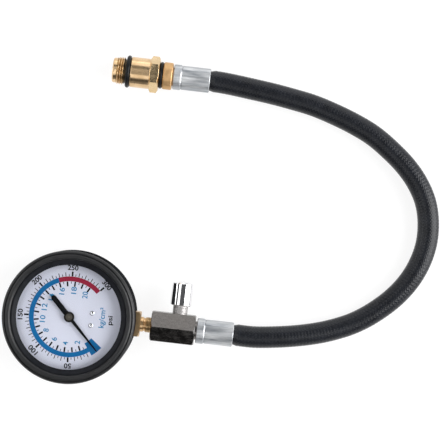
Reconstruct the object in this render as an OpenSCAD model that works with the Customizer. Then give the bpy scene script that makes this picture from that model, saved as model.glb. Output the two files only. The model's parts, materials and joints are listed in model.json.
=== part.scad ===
// Engine compression tester: a dial gauge in a rubber boot, a hexagon block with a
// push-button pressure release, and a short hose that ends in a screw-on brass adapter.
// Millimetres. +Z points out of the dial, +X runs along the stem from the gauge to the
// block, and the origin is the middle of the boot's flat back, on which the gauge lies.

/* [Gauge head] */
// Outside diameter of the pressed steel case
case_d = 73; // [68:0.5:80]
// Sheet thickness of the case
case_wall = 0.8; // [0.6:0.1:1.2]
// Thickness of the bezel ring's skirt
bezel_wall = 1.1; // [0.8:0.1:1.6]
// Thickness of the bezel ring's front flange at its outer edge
bezel_t = 1.8; // [1.4:0.1:2.6]
// How far the bezel's skirt reaches down over the case
bezel_skirt = 5; // [3:0.5:8]
// How far the bezel's flange reaches in over the lens
bezel_reach = 2.95; // [2.6:0.05:4]
// Thickness of the lens
lens_t = 2; // [1.5:0.1:3]
// Thickness of the gasket under the lens
gasket_t = 0.8; // [0.5:0.1:1.2]
// Width of the gasket ring
gasket_w = 1.3; // [1.1:0.1:1.8]
// Rubber between the bezel's skirt and the outside of the boot
boot_wall = 5; // [4:0.25:7]
// Thickness of the boot's flat back
boot_back = 3; // [2.6:0.1:5]
// Section radius of the round lip that grips the bezel
boot_lip_r = 1.8; // [1.5:0.1:2.1]
// Radius of the boot's outer front shoulder
boot_shoulder_r = 2.2; // [1.5:0.1:2.5]
// Section radius of the groove between the lip and the shoulder
boot_groove_r = 0.65; // [0.4:0.05:0.8]
// Radius of the boot's back edge
boot_back_r = 2.4; // [1:0.1:2.6]

/* [Stem] */
// Height of the stem's axis above the inside of the boot's back
stem_up = 12.5; // [11.5:0.25:15]
// Width of the brass socket across the dial's plane
socket_w = 16; // [14:0.5:18]
// Height of the brass socket along the gauge's axis
socket_h = 13; // [12:0.5:14]
// Length of socket that shows outside the boot
socket_out = 2.9; // [2:0.1:6]
// Outside diameter of the stem's tapered pipe thread
stem_d = 9.7; // [9:0.1:11]
// Length of stem that shows between the socket and the block
stem_out = 6.8; // [4:0.1:10]
// Length of stem that is screwed into the block
stem_in = 8; // [6:0.5:8.5]
// Diameter of the air passage through the stem
stem_bore_d = 2.5; // [2:0.1:3]

/* [Dial and needle] */
// Thickness of the dial plate
dial_t = 0.5; // [0.4:0.1:0.8]
// Thickness of the printed ink
ink_t = 0.06; // [0.05:0.01:0.1]
// Distance from the dial's edge in to the coloured band's inner edge
band_inset = 12; // [11:0.1:13]
// Width of the coloured band
band_w = 3.1; // [2:0.1:3.5]
// Reading at the end of the scale
full_scale = 300; // [300:50:400]
// Reading at which the band turns from blue to red
red_from = 228; // [150:1:280]
// Angle that the needle can sweep
sweep_deg = 270; // [240:5:290]
// Angle that the printed scale covers
scale_deg = 273.5; // [240:0.5:290]
// Angle from the scale's zero to the needle at rest
rest_deg = 5; // [0:0.5:8]
// Length of the needle from its axis to its tip
needle_len = 29; // [26:0.5:31]
// Length of the needle's tail from its axis
needle_tail = 17.5; // [14:0.5:19]
// Width of the needle's tail
needle_tail_w = 3.4; // [2.2:0.1:4]
// Width of the needle where it leaves the hub
needle_w = 2.3; // [1.3:0.1:2.8]
// Thickness of the needle's blade
needle_t = 0.4; // [0.3:0.05:0.6]
// Height of the needle's blade above the dial
needle_rise = 1.4; // [1.2:0.1:2.2]
// Diameter of the needle's hub
hub_d = 6.8; // [5.8:0.1:7.4]
// Height of the needle's hub above its blade
hub_h = 1.2; // [0.9:0.1:2]

/* [Movement] */
// Module of the pinion and the toothed sector
gear_module = 0.35; // [0.32:0.01:0.4]
// Teeth on the pinion
pinion_teeth = 12; // [11:1:14]
// Teeth that the sector would have as a full wheel
sector_teeth = 84; // [77:1:92]
// Thickness of the toothed sector
sector_t = 1.2; // [0.9:0.1:1.6]
// Distance from the sector's pivot to the pin on its tail
tail_arm = 5.5; // [5:0.1:6]
// Thickness of each movement plate
plate_t = 1; // [0.8:0.1:1.3]
// Height of the posts that carry the dial
post_h = 4.2; // [3.5:0.1:6]
// Diameter of the pinion's and the sector's arbors
arbor_d = 1.5; // [1.3:0.1:1.7]
// Room between the link's path and the curved pressure tube
tube_gap = 1.7; // [1.3:0.1:3]
// Height of the pressure tube's flattened section
tube_h = 9; // [7:0.5:10]
// Thickness of the pressure tube's flattened section
tube_w = 3; // [2.4:0.1:3.6]
// Wall of the pressure tube
tube_wall = 0.35; // [0.3:0.05:0.5]

/* [Block and release valve] */
// Width of the hexagon block across its flats
block_af = 19; // [18:0.5:22]
// Metal between the stem's end and the release valve
web_in = 5.35; // [2:0.05:8]
// Metal between the release valve and the hose's nipple
web_out = 1.45; // [0.7:0.25:5]
// Length of the nipple's thread in the block
nipple_thread_len = 5; // [4:0.25:8]
// Diameter of the valve's neck
neck_d = 9.5; // [8.5:0.1:10]
// Length of the neck that shows under the button
neck_out = 5.5; // [4:0.1:7]
// Wall of the button's skirt
button_wall = 2.1; // [1:0.1:2.5]
// Length of the neck inside the button
neck_in = 4.4; // [3:0.1:6]
// Length of the button's spring
spring_len = 6.4; // [6:0.1:8]
// Thickness of the button's crown without its dome
crown_t = 4; // [2.5:0.1:5]
// Rise of the button's domed top
button_dome = 1.3; // [0.8:0.1:2]
// How far the button can be pressed
button_travel = 2.5; // [1.5:0.1:3]
// Diameter of the plunger that the button pushes
plunger_d = 3; // [2.6:0.1:3.4]
// Wire diameter of the button's spring
button_wire = 0.75; // [0.6:0.05:0.85]

/* [Hose and ferrules] */
// Outside diameter of the hose
hose_d = 14.2; // [13.6:0.1:15]
// How much each ferrule squeezes the hose, on its radius
hose_squeeze = 0.6; // [0.4:0.05:0.9]
// Inside diameter of the hose
hose_bore_d = 6.4; // [5.5:0.1:7.5]
// Length of each crimped ferrule
ferrule_len = 24; // [22:0.5:28]
// Length of the plain collar at the ferrule's closed end
ferrule_collar = 5.8; // [5:0.1:8]
// Wall of the ferrule at the crimped flats
ferrule_wall = 1.05; // [0.8:0.05:1.6]
// How far the crimped part's ridges stand over its flats, on the diameter
crimp_ridge = 0.5; // [0.3:0.1:0.9]
// How much wider the plain collar is than the crimped ridges
collar_step = 0.8; // [0.4:0.1:1.6]

/* [Hose end and adapter] */
// Diameter of the hose end's brass collar
collar_d = 17.8; // [17:0.1:19.5]
// Length of the hose end's brass collar
collar_len = 6.1; // [5:0.1:8]
// Diameter of the hose end's thread
small_thread_d = 14; // [13:0.1:14.5]
// Length of the hose end's thread
small_thread_len = 11.5; // [10.5:0.1:12.5]
// Section of the hose end's sealing ring
small_ring_t = 2.5; // [2:0.1:2.8]
// Width of the adapter's hexagon across its flats
adapter_af = 21; // [20:0.5:24]
// Length of the adapter's hexagon
adapter_hex = 6.1; // [5:0.1:8]
// Diameter of the adapter's round body
adapter_d = 19.8; // [18.6:0.1:20.4]
// Length of the adapter's round body
adapter_body = 12.7; // [11.5:0.1:15]
// Diameter of the adapter's thread
plug_thread_d = 18; // [17.6:0.1:18.4]
// Length of the adapter's thread
plug_thread_len = 7.7; // [5:0.1:9]
// Length of the plain neck behind the adapter's thread
plug_neck_len = 3.9; // [3.4:0.1:7]
// Section of the adapter's sealing ring
plug_ring_t = 2.8; // [2.4:0.05:3]
// Diameter of the air passage through the adapter
adapter_bore_d = 6; // [5.5:0.1:7]

/* [Valve core] */
// Diameter of the valve core's body
core_d = 5.2; // [4.8:0.1:5.4]
// Length of the valve core's body
core_len = 8; // [7:0.1:9]
// Diameter of the valve core's pin
core_pin_d = 1.3; // [1.1:0.1:1.5]
// How far the pin can be pressed
core_travel = 1.2; // [0.8:0.1:1.5]

/* [Hidden] */
$fn = 64;

// Clearances
fit = 0.15;        // slip fit between pieces that are pushed together
thread_fit = 0.1;  // radial room in a screwed joint
running = 0.05;    // radial room round an arbor, a plunger or a pin
slide_room = 0.2;  // radial room between the button and the neck
lens_clear = 0.4;  // room between the needle's hub and the lens
skirt_clear = 0.3; // room between the bezel's skirt and the stem's socket
cut = 1;           // how far a cutting tool runs past a face
bite = 0.3;        // how far one form of a piece runs into the next
hex_land = 0.97;   // share of a hexagon's end that stays flat
bevel_deg = 30;    // slope of a turned-off corner

// Movement: the pinion turns on the gauge's axis, and the sector's pivot lies beside it
pinion_pitch_r = gear_module * pinion_teeth / 2;
sector_pitch_r = gear_module * sector_teeth / 2;
gear_ratio = sector_teeth / pinion_teeth;
sector_swing = sweep_deg / gear_ratio;
centre_distance = pinion_pitch_r + sector_pitch_r;
pivot_angle = 111;
pivot = centre_distance * [cos(pivot_angle), sin(pivot_angle)];
arbor_r = arbor_d / 2;
tail_angle = 90 - sector_swing / 2;
tail_pin_r = 0.5;
link_play = 0.45;  // the sector's pin swings in the link's hole
tooth_share = 0.84; // share of half the pitch that a tooth fills
pressure_deg = 20;
tooth_up = 0.85 * gear_module;
tooth_down = 1.2 * gear_module;
tail_pin = pivot + tail_arm * [cos(tail_angle), sin(tail_angle)];
link_end_r = 1.5;
link_t = 0.8;
link_gap = 0.2;
pin_over = 0.2;
pinion_lift = 0.3;
pinion_over = 0.7;
pinion_h = sector_t + 2 * pinion_over;
collet_r = pinion_pitch_r - tooth_down - 0.18;
collet_h = 0.8;
plate_room = 0.8;
plate_gap = pinion_lift + pinion_h + collet_h + plate_room;
post_at = [14.3, 4];
far_pillar = [-13, -9];
plate_screw_at = [9.3, 4.2];
plate_edge = 0.9;
pillar_r = 1.9;
dial_screw_r = 0.7;
dial_head_r = 1.45;
dial_head_h = 0.8;

// Pressure tube: it runs from the socket round the movement to its tip
tube_r = norm(tail_pin) + link_end_r + tube_gap + tube_w / 2;
tube_root = 11;
tip_angle = 77;
tip_cap_deg = 6;
tip_pin = [tube_r * cos(tip_angle - tip_cap_deg / 2), tail_pin[1]];

// Radii and heights of the gauge head
case_r = case_d / 2;
case_in = case_r - case_wall;
bezel_in = case_r + fit;
bezel_r = bezel_in + bezel_wall;
window_r = bezel_in - bezel_reach;
boot_in = bezel_r + fit;
boot_r = boot_in + boot_wall;
dial_room = 0.7;
dial_r = case_in - dial_room;
dial_hole_room = 1.65;
dial_hole_r = arbor_r + dial_hole_room;
case_floor = boot_back + case_wall;
stem_z = boot_back + stem_up;
base_z = stem_z - plate_t;
gears_z = base_z + plate_t;
pinion_z = gears_z + pinion_lift;
sector_z = pinion_z + pinion_over;
link_z = sector_z + sector_t + link_gap;
collet_z = pinion_z + pinion_h;
top_z = gears_z + plate_gap;
dial_z = top_z + plate_t + post_h;
ink_z = dial_z + dial_t;
needle_z = ink_z + needle_rise;
hub_z = needle_z + needle_t;
socket_top = stem_z + socket_h / 2;
rim_z = max(hub_z + hub_h + lens_clear - gasket_t, socket_top + skirt_clear + bezel_skirt);
lens_z = rim_z + gasket_t;
flange_z = lens_z + lens_t;
front_z = flange_z + bezel_t;
window_drop = bezel_t * 0.65;
lip_out = 1.2;
lip_up = 0.2;
lip_at = [boot_in + lip_out, front_z + lip_up];
shoulder_rise = 0.9;
shoulder_at = [boot_r - boot_shoulder_r, front_z + shoulder_rise - boot_shoulder_r];
groove_at = shoulder_at + [0, boot_shoulder_r];

// Printed scale: its readings, and each tick's length and width
rest_angle = (sweep_deg - 360) / 2;
band_r = dial_r - band_inset;
ink_gap = 0.1;
tick_out_r = band_r + band_w + ink_gap;
tick_in_r = band_r - ink_gap;
first_tick = 20;
first_fine_tick = 1.5;
tick_step = 5;
major_tick = [3.1, 1.1];
minor_tick = [2.6, 0.5];
half_tick = [1.5, 0.42];
fine_tick = [3.2, 1.05];
fine_unit = 14.2233;
last_fine_tick = 2 * floor(full_scale / fine_unit / 2);
zero_block = [-2.6, 15];
zero_in = 3.1;
zero_out = 2.6;
zero_r = [tick_in_r - zero_in, tick_out_r + zero_out];

// Brass socket inside the case: a tongue carries the movement, and a foot stands on the case
socket_back = 5.5;
socket_in = tube_r - tube_w / 2 - socket_back;
screw_edge = 2.8;
tongue_in = plate_screw_at[0] - screw_edge;
tongue_w = 14;
tongue_t = 3;
foot_w = 11;
foot_room = 3;
foot_end = case_in - foot_room;
case_screw_r = 1.25;
case_head_r = 2.4;
case_head_h = 1.4;
case_screw_depth = 3.6;
case_screw_inset = 4;
case_screw_at = [socket_in + case_screw_inset, foot_end - case_screw_inset];

// Stations along the stem
socket_end = boot_r + socket_out;
block_x = socket_end + stem_out;
stem_r = stem_d / 2;
stem_end = block_x + stem_in;
thread_end_room = 0.5;
passage_r = 2;
neck_r = neck_d / 2;
insert_r = neck_r - 0.8;
insert_hole_r = insert_r + thread_fit;
valve_x = stem_end + thread_end_room + web_in + insert_hole_r;
nipple_bore_x = valve_x + insert_hole_r + web_out;
block_end = nipple_bore_x + thread_end_room + nipple_thread_len;
block_len = block_end - block_x;
flat_y = block_af / 2;

// Release valve, measured along its own axis from the block's axis
seat_y = 3.4;
skirt_y = flat_y + neck_out;
neck_top_y = skirt_y + neck_in;
cavity_top_y = neck_top_y + spring_len;
cavity_r = neck_r + slide_room;
button_r = cavity_r + button_wall;
crown_y = cavity_top_y + crown_t;
plunger_r = plunger_d / 2;
plunger_foot_r = insert_r - 0.9;
plunger_foot_t = 1.2;
seal_t = 0.8;
chamber_r = insert_r - 0.4;
chamber_room = 0.6;
chamber_y = seat_y - seal_t - plunger_foot_t - button_travel - chamber_room;

// Nipples, hose and ferrules
hose_r = hose_d / 2;
gripped_r = hose_r - hose_squeeze;
hose_room = 0.1;
hose_stop = 5.5;
hose_in = ferrule_len - hose_stop;
crimp_sides = 8;
crimp_af = 2 * (gripped_r + hose_room + ferrule_wall);
crimp_d = crimp_af + crimp_ridge;
ferrule_d = crimp_d + collar_step;
crimp_len = ferrule_len - ferrule_collar;
barb_r = hose_bore_d / 2 - 0.2;
barb_root_r = barb_r - 0.35;
barb_count = 3;
barb_land = 0.4;
barb_back = 0.05;
barb_reach = 15.5;
nipple_neck_r = barb_r + 1;
nipple_flange_t = 1;
nipple_flange_step = 1.15;
nipple_flange_r = max(stem_r, nipple_neck_r) + nipple_flange_step;
nipple_bore_r = 1.5;
near_mouth_x = block_end + nipple_flange_t + ferrule_len;

// Hose end: it lies on the surface, and its stations run from the ferrule's mouth to the tip
far_mouth_x = 72.5;
far_y = 163;
plug_neck_depth = 1.25;
plug_neck_r = plug_thread_d / 2 - plug_neck_depth;
plug_ring_in = plug_neck_r + running;
far_z = max(plug_ring_in + plug_ring_t, adapter_af / 2, adapter_d / 2, collar_d / 2);
collar_gap = 0.7;
collar_t0 = ferrule_len + collar_gap;
collar_t1 = collar_t0 + collar_len;
ring_room = 0.05;
hex_t0 = collar_t1 + small_ring_t + 2 * ring_room;
hex_t1 = hex_t0 + adapter_hex;
body_t1 = hex_t1 + adapter_body;
thread_t0 = body_t1 + plug_neck_len;
tip_t = thread_t0 + plug_thread_len;
small_thread_r = small_thread_d / 2;
small_neck_r = small_thread_r - 0.8;
small_thread_t1 = hex_t0 + small_thread_len;
socket_t1 = small_thread_t1 + 1.5;
plug_ring_lie = 0.15;
plug_ring_mid = body_t1 + plug_ring_lie + plug_ring_t / 2;

// Valve core, measured along the hose end
core_r = core_d / 2;
core_inset = 1;
core_mouth_t = small_thread_t1 - core_inset;
core_seat_t = core_mouth_t - core_len;
core_pin_r = core_pin_d / 2;
core_head_r = core_r - 1.15;
core_head_h = 0.8;
core_pocket_r = core_head_r + 0.2;
core_seat_wall = 2.6;
core_pocket_deep = core_len - core_seat_wall;
core_cup_r = core_r - 0.5;
core_cup_t = 2.2;
core_room = 0.8;
core_chamber_t = core_seat_t - core_cup_t - core_travel - core_room;
core_wire = 0.35;
core_turns = 5;
button_turns = 4;

// The hose's route as it lies, from inside the block's ferrule to inside the end's ferrule,
// with each point's height above the level at which the hose rests on the surface
lying_route = [
    [88, 0, 9], [98, 0, 9], [107, 0, 9], [120, 0, 8.5], [133, 1.4, 7.3], [146, 3.5, 5.7],
    [159, 6.4, 3.9], [171, 10.2, 2.3], [184, 16, 1], [196, 24, 0.3], [208, 35, 0], [217, 47, 0],
    [223, 60, 0], [226, 74, 0], [225.5, 88, 0], [222, 101, 0], [215, 113, 0], [206, 123, 0],
    [195, 132, 0], [183, 140, 0], [170, 146, 0], [156, 151, 0.1], [142, 155, 0.5],
    [128, 157.5, 1.2], [114, 159.5, 2.1], [100, 161, 3], [88, 162.2, 3.7], [80, 162.8, 4],
    [72, 163, 4.1], [63, 163, 4.1], [54, 163, 4.1]
];
last_point = len(lying_route) - 1;
held_points = 3;
easing_points = 6;
hose_level = [0, 0, hose_r];
start_shift = [near_mouth_x - hose_in, 0, stem_z] - hose_level - lying_route[0];
end_shift = [far_mouth_x - hose_in, far_y, far_z] - hose_level - lying_route[last_point];
function held(steps) = max(0, min(1, 1 - (steps - held_points) / easing_points));
// The last point that a ferrule grips lies just outside its mouth
grip_point = 2;
grip_end = 0.5;
hose_route = [for (i = [0:last_point])
    i == grip_point ? [near_mouth_x + grip_end, 0, stem_z]
    : i == last_point - grip_point ? [far_mouth_x + grip_end, far_y, far_z]
    : lying_route[i] + hose_level + held(i) * start_shift + held(last_point - i) * end_shift];
hose_radii = [for (i = [0:last_point])
    min(i, last_point - i) > grip_point ? hose_r : gripped_r];
hose_sides = 12;
ring_sides = 32;

// Helpers

// A solid turned about a line along +X, from a profile of [radius, x]
module turned_x(profile) { rotate([0, 90, 0]) rotate_extrude() polygon(profile); }

// Children drawn along +Z are set along the release valve's axis
module on_valve_axis() { translate([valve_x, 0, stem_z]) rotate([-90, 0, 0]) children(); }

// Children drawn along +Z are set along the hose end, from the ferrule's mouth to the tip
module on_hose_end() { translate([far_mouth_x, far_y, far_z]) rotate([0, -90, 0]) children(); }

// Children drawn along +Z are set along the stem, from the ferrule's mouth to the block
module on_block_end() { translate([near_mouth_x, 0, stem_z]) rotate([0, -90, 0]) children(); }

// A hexagon bar along +Z with its end corners turned off, and a flat or a corner towards +X
module hex_bar(across_flats, length, twist = 0) {
    corner_r = across_flats / sqrt(3);
    land_r = across_flats / 2 * hex_land;
    chamfer = (corner_r - land_r) * tan(bevel_deg);
    intersection() {
        rotate(twist) linear_extrude(length) circle(r = corner_r, $fn = 6);
        rotate_extrude() polygon([
            [0, 0], [land_r, 0], [corner_r, chamfer],
            [corner_r, length - chamfer], [land_r, length], [0, length]
        ]);
    }
}

// A round ring of rubber about +Z
module seal_ring(inner_r, section) {
    rotate_extrude() translate([inner_r + section / 2, 0]) circle(d = section, $fn = ring_sides);
}

// Points of one involute tooth that stands about the direction a
function roll(r, base_r) = let(p = acos(min(1, base_r / r))) tan(p) * 180 / PI - p;
function flank(r, pitch_r, base_r, half) =
    half + roll(pitch_r, base_r) - roll(max(r, base_r), base_r);
function tooth(a, pitch_r, half) =
    let(
        base_r = pitch_r * cos(pressure_deg),
        tip_r = pitch_r + tooth_up,
        root_r = pitch_r - tooth_down,
        radii = [root_r, max(base_r, root_r + 0.01), pitch_r, tip_r],
        up = [for (r = radii) r * [cos(a - flank(r, pitch_r, base_r, half)),
                                   sin(a - flank(r, pitch_r, base_r, half))]],
        down = [for (i = [len(radii) - 1:-1:0]) radii[i] * [
            cos(a + flank(radii[i], pitch_r, base_r, half)),
            sin(a + flank(radii[i], pitch_r, base_r, half))]]
    )
    concat(up, down);

// A tube of many sides along a list of points, as one closed surface
function unit(v) = v / norm(v);
function heading(path, i) =
    let(n = len(path), a = path[max(0, i - 1)], b = path[min(n - 1, i + 1)]) unit(b - a);
function tube_ring(path, i, r, sides) =
    let(t = heading(path, i), side = unit(cross([0, 0, 1], t)), up = cross(t, side))
    [for (k = [0:sides - 1])
        let(a = 360 * (k + 0.5) / sides) path[i] + r * (cos(a) * side + sin(a) * up)];
function halves(a, b, c, d) = [[a, b, c], [a, c, d]];
function skin(first, rings, sides, flip) = [
    for (i = [0:rings - 2], k = [0:sides - 1])
        let(a = first + i * sides + k, b = first + i * sides + (k + 1) % sides)
            each flip ? halves(a, a + sides, b + sides, b) : halves(a, b, b + sides, a + sides)
];
function end_face(outer, inner, sides, flip) = [
    for (k = [0:sides - 1])
        let(n = (k + 1) % sides)
            each flip ? halves(outer + k, inner + k, inner + n, outer + n)
                      : halves(outer + k, outer + n, inner + n, inner + k)
];
module swept_tube(path, outer_radii, inner_r, sides) {
    rings = len(path);
    points = concat(
        [for (i = [0:rings - 1]) each tube_ring(path, i, outer_radii[i], sides)],
        [for (i = [0:rings - 1]) each tube_ring(path, i, inner_r, sides)]
    );
    bore = rings * sides;
    last = (rings - 1) * sides;
    polyhedron(points, concat(
        skin(0, rings, sides, true), skin(bore, rings, sides, false),
        end_face(0, bore, sides, false), end_face(last, bore + last, sides, true)
    ));
}

// A coil of round wire along +Z, with its ends squared by the seats that it stands between
module coil(mean_r, wire, length, turns) {
    steps = 12;
    sides = 6;
    rise = length - wire;
    path = [for (i = [0:turns * steps])
        let(a = 360 * i / steps)
            [mean_r * cos(a), mean_r * sin(a), wire / 2 + rise * i / (turns * steps)]];
    rings = len(path);
    points = [for (i = [0:rings - 1]) each tube_ring(path, i, wire / 2, sides)];
    first_cap = [[for (k = [0:sides - 1]) k]];
    last_cap = [[for (k = [sides - 1:-1:0]) (rings - 1) * sides + k]];
    polyhedron(points, concat(skin(0, rings, sides, true), first_cap, last_cap));
}

// Direction on the dial of a reading, with the scale's middle away from the stem
function dial_angle(reading) = rest_angle + rest_deg - scale_deg * reading / full_scale;

// Gauge head

module rubber_boot() {
    color("#1f2022") difference() {
        rotate_extrude() difference() {
            union() {
                square([boot_r - boot_back_r, boot_back_r * 2]);
                translate([boot_r - boot_back_r, boot_back_r]) circle(r = boot_back_r, $fn = 48);
                translate([0, boot_back_r]) square([boot_r, shoulder_at[1] - boot_back_r]);
                square([shoulder_at[0], shoulder_at[1] + boot_shoulder_r]);
                translate(shoulder_at) circle(r = boot_shoulder_r, $fn = 48);
                translate(lip_at) circle(r = boot_lip_r, $fn = 48);
            }
            translate([0, boot_back]) square([case_r + fit, front_z]);
            translate([0, rim_z - bezel_skirt]) square([boot_in, front_z - rim_z + bezel_skirt]);
            translate([0, front_z]) square([lip_at[0] - boot_lip_r, boot_lip_r * 2]);
            translate(groove_at) circle(r = boot_groove_r, $fn = 32);
        }
        socket_slot(boot_r + cut);
        for (x = case_screw_at) translate([x, 0, boot_back - case_head_h - fit])
            cylinder(r = case_head_r + fit, h = case_head_h + fit + cut);
    }
}

// The window that the brass socket passes through in the case and the boot
module socket_slot(to_x) {
    from_x = case_in - foot_room - cut;
    translate([from_x, -socket_w / 2 - fit, stem_z - socket_h / 2 - fit])
        cube([to_x - from_x, socket_w + 2 * fit, socket_h + 2 * fit]);
}

module gauge_case() {
    bend = 2;
    inner_bend = 1.6;
    color("#242527") difference() {
        rotate_extrude() polygon([
            [0, boot_back], [case_r - bend, boot_back], [case_r, boot_back + bend], [case_r, rim_z],
            [case_in, rim_z], [case_in, case_floor + inner_bend],
            [case_in - inner_bend, case_floor], [0, case_floor]
        ]);
        socket_slot(case_r + cut);
        for (x = case_screw_at) translate([x, 0, 0])
            cylinder(r = case_screw_r + thread_fit, h = case_floor + cut);
    }
}

module bezel_ring() {
    edge = 0.6;
    land = 0.8;
    color("#1b1c1e") rotate_extrude() polygon([
        [bezel_in, rim_z - bezel_skirt], [bezel_r, rim_z - bezel_skirt], [bezel_r, front_z - edge],
        [bezel_r - edge, front_z], [bezel_r - edge - land, front_z], [window_r, front_z - window_drop],
        [window_r, flange_z], [bezel_in, flange_z]
    ]);
}

module lens_gasket() {
    color("#2a2a2a") translate([0, 0, rim_z]) difference() {
        cylinder(r = case_r, h = gasket_t);
        translate([0, 0, -cut]) cylinder(r = case_r - gasket_w, h = gasket_t + 2 * cut);
    }
}

module lens() {
    color("#dfe8ee", 0.3) translate([0, 0, lens_z]) cylinder(r = case_r, h = lens_t);
}

module dial() {
    color("#eceef4") translate([0, 0, dial_z]) difference() {
        cylinder(r = dial_r, h = dial_t);
        translate([0, 0, -cut]) cylinder(r = dial_hole_r, h = dial_t + 2 * cut);
        for (s = [-1, 1]) translate([post_at[0], s * post_at[1], -cut])
            cylinder(r = dial_screw_r + running, h = dial_t + 2 * cut);
    }
}

// Printed marks, as fields of ink on the dial
module ink_arc(inner_r, outer_r, from, to) {
    start = dial_angle(to);
    translate([0, 0, ink_z]) rotate(start) rotate_extrude(angle = dial_angle(from) - start)
        translate([inner_r, 0]) square([outer_r - inner_r, ink_t]);
}
module ink_tick(reading, inner_r, length, width) {
    rotate(dial_angle(reading)) translate([inner_r, -width / 2, ink_z]) cube([length, width, ink_t]);
}

module dial_print_black() {
    color("#17181c") {
        for (p = [first_tick:tick_step:full_scale]) {
            tick = p % 50 == 0 ? major_tick : p % 10 == 0 ? minor_tick : half_tick;
            ink_tick(p, tick_out_r, tick[0], tick[1]);
        }
        for (k = [first_fine_tick:0.5:last_fine_tick]) {
            tick = k == floor(k) ? fine_tick : half_tick;
            ink_tick(k * fine_unit, tick_in_r - tick[0], tick[0], tick[1]);
        }
    }
}

module dial_print_blue() {
    color("#1f6fb2") {
        ink_arc(band_r, band_r + band_w, (zero_block[0] + zero_block[1]) / 2, red_from);
        ink_arc(zero_r[0], zero_r[1], zero_block[0], zero_block[1]);
    }
}

module dial_print_red() {
    color("#c22a45") ink_arc(band_r, band_r + band_w, red_from, full_scale);
}

module dial_screws() {
    color("#c9cbcf") for (s = [-1, 1]) translate([post_at[0], s * post_at[1], 0]) {
        translate([0, 0, gears_z]) cylinder(r = dial_screw_r, h = ink_z - gears_z + bite);
        translate([0, 0, ink_z]) rotate_extrude() intersection() {
            translate([0, dial_head_h - 2 * dial_head_r]) circle(r = 2 * dial_head_r);
            square([dial_head_r, dial_head_h]);
        }
    }
}

module needle() {
    blade_half = needle_w / 2;
    tail_half = needle_tail_w / 2;
    tip_half = 0.4;
    point = 1.2;
    color("#101114") translate([0, 0, needle_z]) rotate(rest_angle) difference() {
        linear_extrude(needle_t) union() {
            polygon([
                [0, -blade_half], [needle_len - point, -tip_half], [needle_len, 0],
                [needle_len - point, tip_half], [0, blade_half]
            ]);
            translate([tail_half - needle_tail, -tail_half])
                square([needle_tail - tail_half, needle_tail_w]);
            translate([tail_half - needle_tail, 0]) circle(r = tail_half);
            circle(d = hub_d);
        }
        translate([0, 0, -cut]) cylinder(r = arbor_r, h = needle_t + 2 * cut);
    }
}

// A stepped bush that is pressed on the pinion's arbor and holds the blade
module needle_hub() {
    step_h = hub_h * 0.55;
    edge = 0.4;
    nose_r = arbor_r + 0.8;
    color("#55504a") translate([0, 0, hub_z]) difference() {
        rotate_extrude() polygon([
            [0, 0], [hub_d / 2, 0], [hub_d / 2, step_h - edge], [hub_d / 2 - edge, step_h],
            [nose_r, step_h], [nose_r, hub_h - edge / 2], [nose_r - edge / 2, hub_h], [0, hub_h]
        ]);
        translate([0, 0, -cut]) cylinder(r = arbor_r, h = hub_h + 2 * cut);
    }
}

// Movement

module pinion_shaft() {
    half = 90 / pinion_teeth * tooth_share;
    color("#b08d4a") {
        translate([0, 0, base_z]) cylinder(r = arbor_r, h = hub_z + hub_h - base_z);
        translate([0, 0, pinion_z]) linear_extrude(pinion_h) polygon([
            for (k = [0:pinion_teeth - 1])
                each tooth(pivot_angle + (k + 0.5) * 360 / pinion_teeth, pinion_pitch_r, half)
        ]);
        translate([0, 0, collet_z - bite]) cylinder(r = collet_r, h = collet_h + bite);
    }
}

module sector_gear() {
    step = 360 / sector_teeth;
    half = 90 / sector_teeth * tooth_share;
    line = pivot_angle + 180;
    travel_teeth = ceil(sector_swing / step);
    first = -travel_teeth - 2;
    last = 2;
    rim_in = sector_pitch_r - tooth_down - 2.2;
    hub_r = 2.4;
    spoke_w = 1.8;
    spoke_inset = 4;
    tail_end_r = 1.3;
    from = line + (first - 0.5) * step;
    to = line + (last + 0.5) * step;
    color("#b58f48") translate([pivot[0], pivot[1], 0]) {
        translate([0, 0, sector_z]) linear_extrude(sector_t) union() {
            difference() {
                polygon(concat(
                    [[0, 0]],
                    [for (j = [first:last]) each tooth(line + j * step, sector_pitch_r, half)]
                ));
                circle(r = rim_in);
            }
            for (a = [from + spoke_inset, to - spoke_inset])
                rotate(a) translate([0, -spoke_w / 2]) square([rim_in + 2 * bite, spoke_w]);
            circle(r = hub_r);
            rotate(tail_angle) translate([0, -spoke_w / 2]) square([tail_arm, spoke_w]);
            rotate(tail_angle) translate([tail_arm, 0]) circle(r = tail_end_r);
        }
        translate([0, 0, base_z]) cylinder(r = arbor_r, h = top_z + plate_t - base_z);
        rotate(tail_angle) translate([tail_arm, 0, sector_z])
            cylinder(r = tail_pin_r, h = link_z + link_t + pin_over - sector_z);
    }
}

module plate_outline() {
    $fn = 32;
    hull() {
        for (p = [pivot, far_pillar]) translate(p) circle(r = pillar_r + plate_edge);
        for (s = [-1, 1]) translate([post_at[0], s * post_at[1]]) circle(r = pillar_r + plate_edge);
    }
}

module plate_bores() {
    for (p = [[0, 0], pivot]) translate([p[0], p[1], -cut])
        cylinder(r = arbor_r + running, h = plate_t + 2 * cut);
}

module movement_base_plate() {
    color("#c2a35c") translate([0, 0, base_z]) difference() {
        linear_extrude(plate_t) plate_outline();
        plate_bores();
        for (s = [-1, 1]) translate([plate_screw_at[0], s * plate_screw_at[1], -cut])
            cylinder(r = dial_screw_r + running, h = plate_t + 2 * cut);
    }
}

module movement_top_plate() {
    color("#c2a35c") translate([0, 0, top_z]) difference() {
        linear_extrude(plate_t) plate_outline();
        plate_bores();
        for (s = [-1, 1]) translate([post_at[0], s * post_at[1], -cut])
            cylinder(r = dial_screw_r + running, h = plate_t + 2 * cut);
    }
}

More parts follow.
